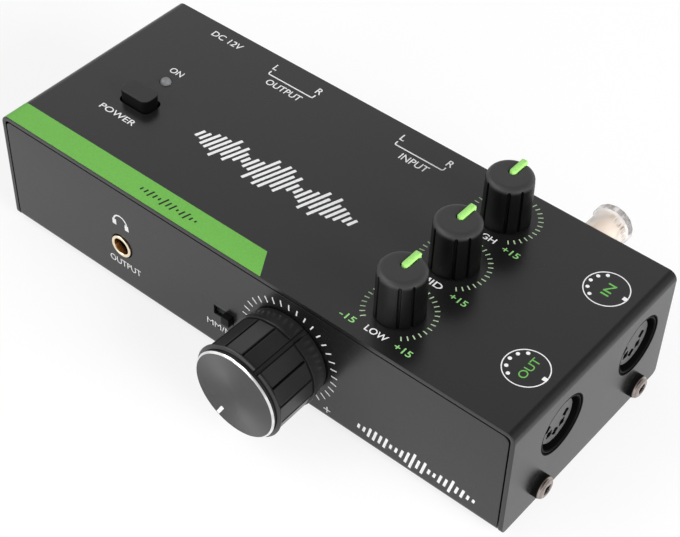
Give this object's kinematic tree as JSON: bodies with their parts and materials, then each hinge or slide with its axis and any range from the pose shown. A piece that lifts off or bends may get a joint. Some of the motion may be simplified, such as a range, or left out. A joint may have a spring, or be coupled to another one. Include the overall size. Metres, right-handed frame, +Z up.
{
  "type": "phono preamp",
  "caption": "Small black metal desktop phono preamp with tone knobs on top, a large volume knob on the front, DIN sockets in its end and rear jacks.",
  "frame": {"origin": "centre of the whole object's footprint, on the surface that the feet stand on", "axes": "+X towards the end with the DIN sockets, -Y towards the front with the volume knob, +Z up"},
  "size_m": [0.163, 0.0955, 0.0503],
  "materials": {
    "case_paint": "satin powder coat, near black",
    "screw_steel": "bronze-grey plated pan heads",
    "board_steel": "zinc plated screws, nuts and switch cans",
    "foot_rubber": "matte",
    "board_green": "solder mask",
    "brass": "turned brass",
    "gold_plate": "polished gold plating",
    "black_moulding": "fine moulded texture",
    "knob_black": "soft satin moulding",
    "pale_moulding": "natural nylon",
    "lamp_lens": "milky epoxy",
    "tinned_wire": "tinned",
    "cap_metal": "dark anodised disc with a bright turned rim",
    "pointer_green": "light green inlay",
    "mark_white": "white inlay",
    "insulator_grey": "moulded grey",
    "jack_nickel": "bright nickel",
    "insulator_white": "white nylon",
    "insulator_red": "red nylon",
    "can_sleeve": "shrink sleeve",
    "film_red": "dipped film capacitor",
    "clear_acrylic": "clear moulded nut"
  },
  "bodies": {
    "case": {"top_cover": "case_paint", "base_chassis": "case_paint", "cover_screws": "screw_steel", "rubber_feet": "foot_rubber", "main_board": "board_green", "board_standoffs": "brass", "board_screws": "board_steel", "filter_capacitors": "can_sleeve", "film_capacitors": "film_red", "amplifier_chips": "black_moulding", "power_switch": "pale_moulding", "power_led": "lamp_lens", "power_led_leads": "tinned_wire", "headphone_jack": "black_moulding", "headphone_jack_bush": "gold_plate", "mode_switch": "board_steel", "volume_pot": "board_steel", "volume_pot_nut": "board_steel", "low_pot": "board_steel", "mid_pot": "board_steel", "high_pot": "board_steel", "din_out_housing": "black_moulding", "din_out_insulator": "insulator_grey", "din_in_housing": "black_moulding", "din_in_insulator": "insulator_grey", "din_contacts": "gold_plate", "output_jack_block": "black_moulding", "output_left_shell": "jack_nickel", "output_left_insulator": "insulator_white", "output_right_shell": "jack_nickel", "output_right_insulator": "insulator_red", "input_jack_block": "black_moulding", "input_left_shell": "jack_nickel", "input_left_insulator": "insulator_white", "input_right_shell": "jack_nickel", "input_right_insulator": "insulator_red", "power_inlet": "black_moulding", "power_inlet_pin": "jack_nickel", "ground_post_stud": "gold_plate", "ground_post_locknut": "board_steel"},
    "volume_control": {"volume_pot_shaft": "board_steel", "volume_knob": "knob_black", "volume_knob_cap": "cap_metal", "volume_pointer": "mark_white"},
    "low_control": {"low_pot_shaft": "board_steel", "low_knob": "knob_black", "low_pointer": "pointer_green"},
    "mid_control": {"mid_pot_shaft": "board_steel", "mid_knob": "knob_black", "mid_pointer": "pointer_green"},
    "high_control": {"high_pot_shaft": "board_steel", "high_knob": "knob_black", "high_pointer": "pointer_green"},
    "power_push": {"power_switch_plunger": "pale_moulding", "power_button": "black_moulding"},
    "mode_slider": {"mode_switch_lever": "black_moulding"},
    "post_washer": {"ground_post_washer": "gold_plate"},
    "thumb_nut": {"ground_nut": "clear_acrylic", "ground_nut_insert": "gold_plate"}
  },
  "joints": [
    {"name": "volume_turn", "type": "hinge", "parent": "case", "child": "volume_control", "pos_m": [0.0164, -0.02885, 0.0178], "axis": [0, 1, 0], "range_deg": [0, 300]},
    {"name": "low_turn", "type": "hinge", "parent": "case", "child": "low_control", "pos_m": [0.0382, -0.01625, 0.0356], "axis": [0, 0, -1], "range_deg": [-140, 140]},
    {"name": "mid_turn", "type": "hinge", "parent": "case", "child": "mid_control", "pos_m": [0.0382, 0.00375, 0.0356], "axis": [0, 0, -1], "range_deg": [-140, 140]},
    {"name": "high_turn", "type": "hinge", "parent": "case", "child": "high_control", "pos_m": [0.0382, 0.02375, 0.0356], "axis": [0, 0, -1], "range_deg": [-140, 140]},
    {"name": "power_press", "type": "slide", "parent": "case", "child": "power_push", "axis": [0, 0, -1], "range_m": [0, 0.0022], "stiffness_N_per_m": 200, "springref_m": -0.002},
    {"name": "mode_slide", "type": "slide", "parent": "case", "child": "mode_slider", "axis": [-1, 0, 0], "range_m": [0, 0.0032]},
    {"name": "ground_washer_lift", "type": "slide", "parent": "case", "child": "post_washer", "axis": [0, 1, 0], "range_m": [0, 0.0014]},
    {"name": "thumb_nut_turn", "type": "hinge", "parent": "post_washer", "child": "thumb_nut", "pos_m": [0.054, 0.03475, 0.0261], "axis": [0, 1, 0], "range_deg": [0, 720]}
  ],
  "couplings": [
    {"joint": "thumb_nut_turn", "follows": "ground_washer_lift", "rad_per_m": 8975}
  ]
}
